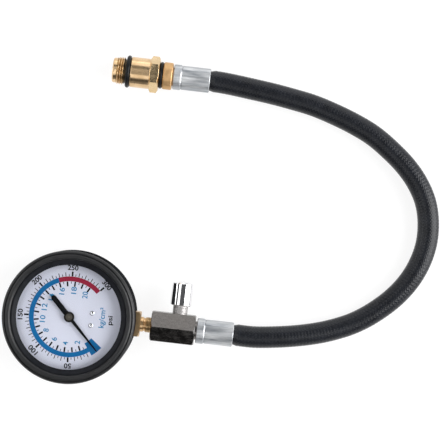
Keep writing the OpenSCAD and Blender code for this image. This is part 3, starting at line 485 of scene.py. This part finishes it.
def lettering(bold, text, height, width, centre, turn):
    """Points and faces of a line of print on the dial, in millimetres."""
    curve = bpy.data.curves.new("print", "FONT")
    curve.body = text
    curve.extrude = LETTER_DEPTH / 2
    curve.offset = bold
    temp = bpy.data.objects.new("print", curve)
    scene.collection.objects.link(temp)
    shown = temp.evaluated_get(bpy.context.evaluated_depsgraph_get())
    mesh = bpy.data.meshes.new_from_object(shown)
    co = [v.co.copy() for v in mesh.vertices]
    faces = [tuple(f.vertices) for f in mesh.polygons]
    bpy.data.objects.remove(temp)
    bpy.data.curves.remove(curve)
    bpy.data.meshes.remove(mesh)
    low = [min(c[i] for c in co) for i in range(2)]
    high = [max(c[i] for c in co) for i in range(2)]
    cos = math.cos(turn)
    sin = math.sin(turn)
    points = []
    for c in co:
        x = ((c.x - low[0]) / (high[0] - low[0]) - 0.5) * width
        y = ((c.y - low[1]) / (high[1] - low[1]) - 0.5) * height
        z = INK_Z + (c.z / LETTER_DEPTH + 0.5) * INK_T
        points.append((centre[0] + x * cos - y * sin, centre[1] + x * sin + y * cos, z))
    return points, faces


def dial_angle(reading):
    """Angle of a reading on the outer scale."""
    return math.radians(DIAL_START + DIAL_STEP * reading)


def dial_place(reading, r):
    """Place of a reading on the outer scale, at a radius."""
    angle = dial_angle(reading)
    return (r * math.cos(angle), r * math.sin(angle))


def printed(name, lines, bold):
    """One piece of all lines of print in a colour, each as (text, height, width, centre, turn)."""
    points = []
    faces = []
    for line in lines:
        new_points, new_faces = lettering(bold, *line)
        base = len(points)
        points += new_points
        faces += [tuple(base + v for v in f) for f in new_faces]
    obj = piece(name, points, faces)
    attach(obj, "root")
    return obj


black_lines = [OUTER_UNIT]
for reading in OUTER_FIGURES:
    text = str(reading)
    black_lines.append((text, OUTER_H, OUTER_W * len(text), dial_place(reading, OUTER_R),
                        dial_angle(reading) - UPRIGHT))
blue_lines = [INNER_UNIT]
for value in INNER_FIGURES:
    text = str(value)
    blue_lines.append((text, INNER_H, INNER_W * len(text), dial_place(value * FINE_UNIT, INNER_R),
                       UPRIGHT))
numbers_black = printed("dial_numbers_black", black_lines, OUTER_BOLD)
numbers_blue = printed("dial_numbers_blue", blue_lines, INNER_BOLD)


# Materials: a scale of noise counts its waves in a metre, and a stretch has them along each axis
ALL_WAYS = (1, 1, 1)
ALONG_X = (1, 0, 0)
ALONG_Y = (0, 1, 0)
ACROSS_Z = (1, 1, 0)
PATCHES = (210, 210, 210)
STREAKS = (60, 420, 420)
SCRATCHES = (260, 4200, 4200)
NOISE_ROUGH = 0.55


class Finish:
    """A procedural material about one Principled shader."""

    def __init__(self, name, **values):
        self.name = name
        self.material = bpy.data.materials.new(name)
        self.material.use_nodes = True
        self.tree = self.material.node_tree
        self.shader = self.tree.nodes["Principled BSDF"]
        self.normal = None
        for socket, value in values.items():
            self.shader.inputs[socket.replace("_", " ")].default_value = value

    def add(self, kind, **settings):
        """A new node with these settings."""
        node = self.tree.nodes.new(kind)
        for key, value in settings.items():
            setattr(node, key, value)
        return node

    def join(self, source, target):
        """A link from an output to an input."""
        self.tree.links.new(source, target)

    def coords(self, stretch):
        """Places on the piece, in metres times the stretch along each axis."""
        source = self.add("ShaderNodeTexCoord").outputs["Object"]
        mapping = self.add("ShaderNodeMapping")
        mapping.inputs["Scale"].default_value = stretch
        self.join(source, mapping.inputs["Vector"])
        return mapping.outputs["Vector"]

    def noise(self, scale, stretch=ALL_WAYS, detail=4.0):
        """Soft noise about one half."""
        node = self.add("ShaderNodeTexNoise")
        node.inputs["Scale"].default_value = scale
        node.inputs["Detail"].default_value = detail
        node.inputs["Roughness"].default_value = NOISE_ROUGH
        self.join(self.coords(stretch), node.inputs["Vector"])
        return node.outputs["Fac"]

    def spread(self, fac, low, high, start=0.3, end=0.7):
        """The source's range start to end, as low to high."""
        node = self.add("ShaderNodeMapRange")
        for key, value in (("From Min", start), ("From Max", end), ("To Min", low), ("To Max", high)):
            node.inputs[key].default_value = value
        self.join(fac, node.inputs["Value"])
        return node.outputs["Result"]

    def blend(self, fac, dark, light, start=0.3, end=0.7):
        """The source's range start to end, as one colour to the other."""
        node = self.add("ShaderNodeValToRGB")
        for element, place, rgb in zip(node.color_ramp.elements, (start, end), (dark, light)):
            element.position = place
            element.color = (*rgb, 1)
        self.join(fac, node.inputs["Fac"])
        return node.outputs["Color"]

    def math(self, operation, *values):
        """The result of an operation on numbers or outputs."""
        node = self.add("ShaderNodeMath", operation=operation)
        for socket, value in zip(node.inputs, values):
            if isinstance(value, (int, float)):
                socket.default_value = value
            else:
                self.join(value, socket)
        return node.outputs["Value"]

    def colour(self, source):
        """Takes the shader's colour from an output."""
        self.join(source, self.shader.inputs["Base Color"])
        return self

    def roughness(self, source):
        """Takes the shader's roughness from an output."""
        self.join(source, self.shader.inputs["Roughness"])
        return self

    def relief(self, height, depth, strength):
        """Bumps of that depth in millimetres, on top of those already there."""
        node = self.add("ShaderNodeBump")
        node.inputs["Strength"].default_value = strength
        node.inputs["Distance"].default_value = depth * MM
        self.join(height, node.inputs["Height"])
        if self.normal is not None:
            self.join(self.normal, node.inputs["Normal"])
        self.normal = node.outputs["Normal"]
        self.join(self.normal, self.shader.inputs["Normal"])
        return self

    def surface(self, fac, first, second):
        """Puts a mix of two other shaders in the place of the Principled one."""
        mix = self.add("ShaderNodeMixShader")
        self.join(fac, mix.inputs["Fac"])
        self.join(first, mix.inputs[1])
        self.join(second, mix.inputs[2])
        self.join(mix.outputs["Shader"], self.tree.nodes["Material Output"].inputs["Surface"])
        self.tree.nodes.remove(self.shader)
        return self


def rubber(name, dark, light, rough, grain, shine, dull_sides=False):
    """Moulded rubber with a fine grain, whose upright sides may be dull."""
    f = Finish(name, Specular_IOR_Level=shine)
    if dull_sides:
        facing = f.add("ShaderNodeSeparateXYZ")
        f.join(f.add("ShaderNodeTexCoord").outputs["Normal"], facing.inputs["Vector"])
        level = f.spread(facing.outputs["Z"], 0.0, shine, start=0.0, end=0.5)
        f.join(level, f.shader.inputs["Specular IOR Level"])
    f.colour(f.blend(f.noise(140, detail=6), dark, light, end=0.72))
    f.roughness(f.spread(f.noise(420), rough - 0.07, rough + 0.09))
    return f.relief(f.noise(2600, detail=3), depth=grain, strength=0.6)


def plastic(name, dark, light, rough):
    """Satin plastic with a fine grain."""
    f = Finish(name, Specular_IOR_Level=0.14)
    f.colour(f.blend(f.noise(220), dark, light))
    f.roughness(f.spread(f.noise(700), rough - 0.05, rough + 0.08))
    return f.relief(f.noise(3500, detail=2), depth=0.012, strength=0.5)


def enamel(name, dark, light, rough, shine=0.4):
    """Smooth paint or ink."""
    f = Finish(name, Specular_IOR_Level=shine)
    f.colour(f.blend(f.noise(90, detail=5), dark, light))
    f.roughness(f.spread(f.noise(900), rough - 0.05, rough + 0.08))
    return f.relief(f.noise(1800, detail=2), depth=0.006, strength=0.4)


def turned_metal(name, dark, light, rough, axis, marks=0.012, sheen=0.0):
    """Bare metal with fine rings from the lathe, tarnish in patches and small dents."""
    f = Finish(name, Metallic=1.0, Anisotropic=sheen, Anisotropic_Rotation=0.25)
    if sheen:
        around = f.add("ShaderNodeTangent", direction_type="RADIAL", axis="XYZ"[axis.index(1)])
        f.join(around.outputs["Tangent"], f.shader.inputs["Tangent"])
    rings = f.noise(4200, stretch=axis, detail=3)
    patches = f.noise(170, detail=6)
    f.colour(f.blend(patches, dark, light, start=0.32))
    f.roughness(f.math("ADD", f.spread(patches, rough + 0.02, rough, start=0.35, end=0.65),
                       f.spread(rings, -0.02, 0.03)))
    f.relief(rings, depth=marks, strength=0.7)
    return f.relief(f.noise(900, detail=2), depth=0.012, strength=0.35)


def ringed_metal(name, middle, ring, rough, middle_r, ring_r):
    """Turned metal whose colour goes over to a ring's between two radii from the dial's middle."""
    f = turned_metal(name, ring, middle, rough, ACROSS_Z)
    out = f.add("ShaderNodeVectorMath", operation="LENGTH")
    f.join(f.coords((1 / MM, 1 / MM, 0)), out.inputs["Vector"])
    share = f.spread(out.outputs["Value"], 0.0, 1.0, start=middle_r, end=ring_r)
    return f.colour(f.blend(share, middle, ring, start=0.0, end=1.0))


def drawn_metal(name, dark, light, rough, marks, patch=PATCHES, dents=0.12):
    """Bare metal with scratches along the stem, dull patches or streaks, and shallow dents."""
    f = Finish(name, Metallic=1.0)
    lines = f.noise(1, stretch=SCRATCHES)
    patches = f.noise(1, stretch=patch, detail=6)
    f.colour(f.blend(patches, dark, light))
    f.roughness(f.math("ADD", f.spread(patches, rough - 0.06, rough + 0.12),
                       f.spread(lines, -0.06, 0.08)))
    f.relief(lines, depth=marks, strength=0.8)
    return f.relief(f.noise(330, detail=2), depth=dents, strength=0.35)


def plated(name, colour, rough):
    """Polished plate with faint smudges."""
    f = Finish(name, Metallic=1.0)
    smudge = f.noise(260, detail=6)
    f.colour(f.blend(smudge, [c * 0.96 for c in colour], colour))
    f.roughness(f.spread(smudge, rough, rough + 0.06))
    return f.relief(f.noise(500, detail=2), depth=0.004, strength=0.4)


def wrapped_hose(name):
    """Rubber that was cured in cloth, with rows of small pips across the hose."""
    f = rubber(name, (0.006, 0.0068, 0.0092), (0.012, 0.0136, 0.018), rough=0.28, grain=0.004, shine=0.27)
    uv = f.add("ShaderNodeUVMap", uv_map=HOSE_MAP)
    split = f.add("ShaderNodeSeparateXYZ")
    f.join(uv.outputs["UV"], split.inputs["Vector"])
    across = f.math("SINE", f.math("MULTIPLY", split.outputs["X"], TURN / (RIB_PITCH * MM)))
    around = f.math("SINE", f.math("MULTIPLY", split.outputs["Y"], TURN * PIPS))
    return f.relief(f.math("MULTIPLY", across, around), depth=0.07, strength=0.7)


def clear_lens(name, tint, bend):
    """Clear pane: its outer sides mirror by the angle, and all else goes straight through it."""
    f = Finish(name)
    clear = f.add("ShaderNodeBsdfTransparent")
    clear.inputs["Color"].default_value = (*tint, 1)
    mirror = f.add("ShaderNodeBsdfGlossy")
    f.join(f.spread(f.noise(120, detail=5), 0.0, 0.012), mirror.inputs["Roughness"])
    fresnel = f.add("ShaderNodeFresnel")
    fresnel.inputs["IOR"].default_value = bend
    outside = f.math("SUBTRACT", 1, f.add("ShaderNodeNewGeometry").outputs["Backfacing"])
    share = f.math("MULTIPLY", fresnel.outputs["Fac"], outside)
    return f.surface(share, clear.outputs["BSDF"], mirror.outputs["BSDF"])


looks = {f.name: f for f in (
    rubber("boot_rubber", (0.009, 0.0095, 0.0105), (0.017, 0.0175, 0.019),
           rough=0.38, grain=0.02, shine=0.33, dull_sides=True),
    rubber("seal_rubber", (0.004, 0.0045, 0.005), (0.009, 0.0095, 0.0105),
           rough=0.3, grain=0.015, shine=0.16),
    wrapped_hose("hose_rubber"),
    plastic("bezel_black", (0.0055, 0.0062, 0.0085), (0.011, 0.012, 0.0155), rough=0.4),
    clear_lens("lens_clear", tint=(0.985, 0.99, 0.995), bend=1.22),
    enamel("case_black", (0.012, 0.012, 0.013), (0.022, 0.022, 0.024), rough=0.4),
    enamel("dial_white", (0.62, 0.63, 0.72), (0.645, 0.655, 0.75), rough=0.42),
    enamel("ink_black", (0.0045, 0.005, 0.0075), (0.010, 0.011, 0.015), rough=0.45, shine=0.12),
    enamel("ink_blue", (0.004, 0.111, 0.294), (0.006, 0.138, 0.353), rough=0.45, shine=0.15),
    enamel("ink_cyan", (0.008, 0.175, 0.38), (0.015, 0.21, 0.42), rough=0.45, shine=0.15),
    enamel("ink_red", (0.265, 0.014, 0.038), (0.32, 0.018, 0.047), rough=0.45, shine=0.15),
    enamel("needle_black", (0.0022, 0.0025, 0.0036), (0.005, 0.0056, 0.0073), rough=0.42, shine=0.08),
    ringed_metal("hub_dark", (0.13, 0.12, 0.10), (0.022, 0.02, 0.018),
                 rough=0.34, middle_r=1.9, ring_r=2.5),
    turned_metal("arbor_dull", (0.13, 0.117, 0.09), (0.21, 0.193, 0.156), rough=0.3, axis=ACROSS_Z),
    turned_metal("brass", (0.64, 0.44, 0.24), (0.84, 0.61, 0.37),
                 rough=0.27, axis=ALONG_X, marks=0.008, sheen=0.5),
    # Painted shade: a near-black copy of the brass, for the adapter's neck that lies in shade beside the
    # seal ring
    turned_metal("brass_painted_neck_shade", (0.05, 0.035, 0.02), (0.10, 0.07, 0.04), rough=0.4, axis=ALONG_X),
    # Painted shade: darker brass for the roots of the adapter's thread
    turned_metal("brass_painted_root_shade", (0.34, 0.21, 0.08), (0.46, 0.30, 0.13), rough=0.35, axis=ALONG_X),
    turned_metal("brass_old", (0.54, 0.37, 0.20), (0.74, 0.52, 0.29), rough=0.30, axis=ALONG_X),
    # Painted shade: a darker copy of the stem's brass, for its thread in the shade between socket and
    # block
    turned_metal("brass_painted_stem_shade", (0.27, 0.175, 0.07), (0.40, 0.27, 0.12), rough=0.30, axis=ALONG_X),
    turned_metal("neck_steel", (0.38, 0.365, 0.36), (0.56, 0.545, 0.54), rough=0.5, axis=ALONG_Y),
    turned_metal("spring_steel", (0.42, 0.42, 0.44), (0.58, 0.58, 0.60), rough=0.25, axis=ALL_WAYS),
    drawn_metal("brass_satin", (0.56, 0.35, 0.16), (0.70, 0.46, 0.24), rough=0.5, marks=0.008),
    drawn_metal("brass_drawn", (0.66, 0.48, 0.26), (0.80, 0.60, 0.35),
                rough=0.17, marks=0.006, dents=0.04),
    drawn_metal("block_steel", (0.165, 0.153, 0.145), (0.215, 0.203, 0.195), rough=0.19, marks=0.012),
    drawn_metal("ferrule_alu", (0.28, 0.30, 0.325), (0.72, 0.73, 0.74),
                rough=0.46, marks=0.03, patch=STREAKS),
    plated("chrome", (0.86, 0.86, 0.87), rough=0.03),
    plated("screw_steel", (0.72, 0.72, 0.74), rough=0.12),
)}


def dress(obj, finish):
    """Puts a finish in every material slot of a piece."""
    if not obj.material_slots:
        obj.data.materials.append(None)
    for holder in obj.material_slots:
        holder.material = looks[finish].material


# Solids wear the look that the record names, apart from four that the photo shows otherwise
slots = {s["node"]: s["material_slot"] for s in frame["record"]["subparts"]}
slots |= {
    "release_valve_body": "neck_steel", "pinion_shaft": "arbor_dull",
    "stem_socket": "brass_old", "hose_end_nipple": "brass_satin",
}
for node_name, node_obj in nodes.items():
    dress(node_obj, slots[node_name])
for obj, finish in (
    (hose, "hose_rubber"), (adapter, ADAPTER_FINISHES[0]),
    # the stem's thread wears painted shade, a darker copy of the socket's brass
    (stem_thread, "brass_painted_stem_shade"), (neck_thread, "neck_steel"),
    (numbers_black, "ink_black"), (numbers_blue, "ink_cyan"),
    (button_coil, "spring_steel"), (core_coil, "spring_steel"),
):
    dress(obj, finish)
for finish in ADAPTER_FINISHES[1:]:
    adapter.data.materials.append(looks[finish].material)
for face in adapter.data.polygons:
    x, y, z = face.center / MM
    finish = adapter_finish(adapter_high.x - x, math.hypot(y - END_Y, z - END_Z))
    face.material_index = ADAPTER_FINISHES.index(finish)


# Floor: white to the eye and in reflections, with a soft shadow and a rim that rises far away
FLOOR_R = 3400.0
FLOOR_Z = -0.3
FLOOR_SIDES = 96
RIM_R = 800.0
RIM_STEPS = 8
FLOOR_GLOW = 0.84
FLOOR_DARK = (0.20, 0.20, 0.20)
FLOOR_LIGHT = (0.21, 0.21, 0.21)
FLOOR_BOUNCE = (0.8, 0.8, 0.8, 1)


def floor_finish():
    """Glow and a little shade where the floor is seen, and plain pale for the light that it bounces."""
    f = Finish("floor")
    path = f.add("ShaderNodeLightPath")
    seen = f.math("MAXIMUM", path.outputs["Is Camera Ray"], path.outputs["Is Glossy Ray"])
    seen = f.math("MAXIMUM", seen, path.outputs["Is Transmission Ray"])
    glow = f.add("ShaderNodeEmission")
    glow.inputs["Strength"].default_value = FLOOR_GLOW
    shade = f.add("ShaderNodeBsdfDiffuse")
    f.join(f.blend(f.noise(3), FLOOR_DARK, FLOOR_LIGHT), shade.inputs["Color"])
    both = f.add("ShaderNodeAddShader")
    f.join(glow.outputs["Emission"], both.inputs[0])
    f.join(shade.outputs["BSDF"], both.inputs[1])
    pale = f.add("ShaderNodeBsdfDiffuse")
    pale.inputs["Color"].default_value = FLOOR_BOUNCE
    return f.surface(seen, pale.outputs["BSDF"], both.outputs["Shader"])


def make_floor():
    """A round floor whose rim curves upward."""
    points = []
    for i in range(RIM_STEPS + 1):
        rise = TURN / 4 * i / RIM_STEPS
        r = FLOOR_R + RIM_R * math.sin(rise)
        z = FLOOR_Z + RIM_R * (1 - math.cos(rise))
        for k in range(FLOOR_SIDES):
            a = TURN * k / FLOOR_SIDES
            points.append((r * math.cos(a), r * math.sin(a), z))
    disc = tuple(range(FLOOR_SIDES))
    mesh = bpy.data.meshes.new("floor")
    mesh.from_pydata([Vector(p) * MM for p in points], [], [disc] + skin(RIM_STEPS + 1, FLOOR_SIDES))
    floor = bpy.data.objects.new("floor", mesh)
    scene.collection.objects.link(floor)
    floor.data.materials.append(floor_finish().material)


make_floor()


# Light: two soft boxes at the left, the strongest at the right, a low one behind and one in front
FOCUS = Vector((95, 80, 10)) * MM


def softbox(name, towards, away, wide, high, radiance):
    """A lamp in a direction from the part, turned to it, with sizes in metres and that brightness."""
    data = bpy.data.lights.new(name, "AREA")
    data.shape = "RECTANGLE"
    data.size = wide
    data.size_y = high
    data.energy = radiance * math.pi * wide * high
    lamp = bpy.data.objects.new(name, data)
    way = Vector(towards).normalized()
    lamp.location = FOCUS + way * away
    lamp.rotation_euler = way.to_track_quat("Z", "Y").to_euler()
    lamp.visible_camera = False
    scene.collection.objects.link(lamp)


softbox("left", (-0.45, 0.06, 0.89), away=1.3, wide=1.3, high=0.5, radiance=1.9)
softbox("low_left", (-0.92, 0.06, 0.38), away=1.3, wide=1.4, high=0.4, radiance=3.0)
softbox("right", (0.88, 0.06, 0.47), away=1.3, wide=1.3, high=1.35, radiance=5.9)
softbox("behind", (0.0, 0.94, 0.34), away=1.4, wide=2.2, high=0.9, radiance=1.35)
softbox("front", (0.0, -0.54, 0.84), away=1.4, wide=1.6, high=0.7, radiance=1.3)

# Sky: dim in front of the part, and brighter beside and behind it
SKY_TINT = (0.95, 0.97, 1, 1)
SKY_LEVELS = {"From Min": -0.6, "From Max": 0.1, "To Min": 0.02, "To Max": 0.13}
world = bpy.data.worlds.new("world")
scene.world = world
world.use_nodes = True
sky = world.node_tree
back = sky.nodes["Background"]
back.inputs["Color"].default_value = SKY_TINT
towards = sky.nodes.new("ShaderNodeTexCoord")
split = sky.nodes.new("ShaderNodeSeparateXYZ")
level = sky.nodes.new("ShaderNodeMapRange")
for key, value in SKY_LEVELS.items():
    level.inputs[key].default_value = value
sky.links.new(towards.outputs["Generated"], split.inputs["Vector"])
sky.links.new(split.outputs["Y"], level.inputs["Value"])
sky.links.new(level.outputs["Result"], back.inputs["Strength"])
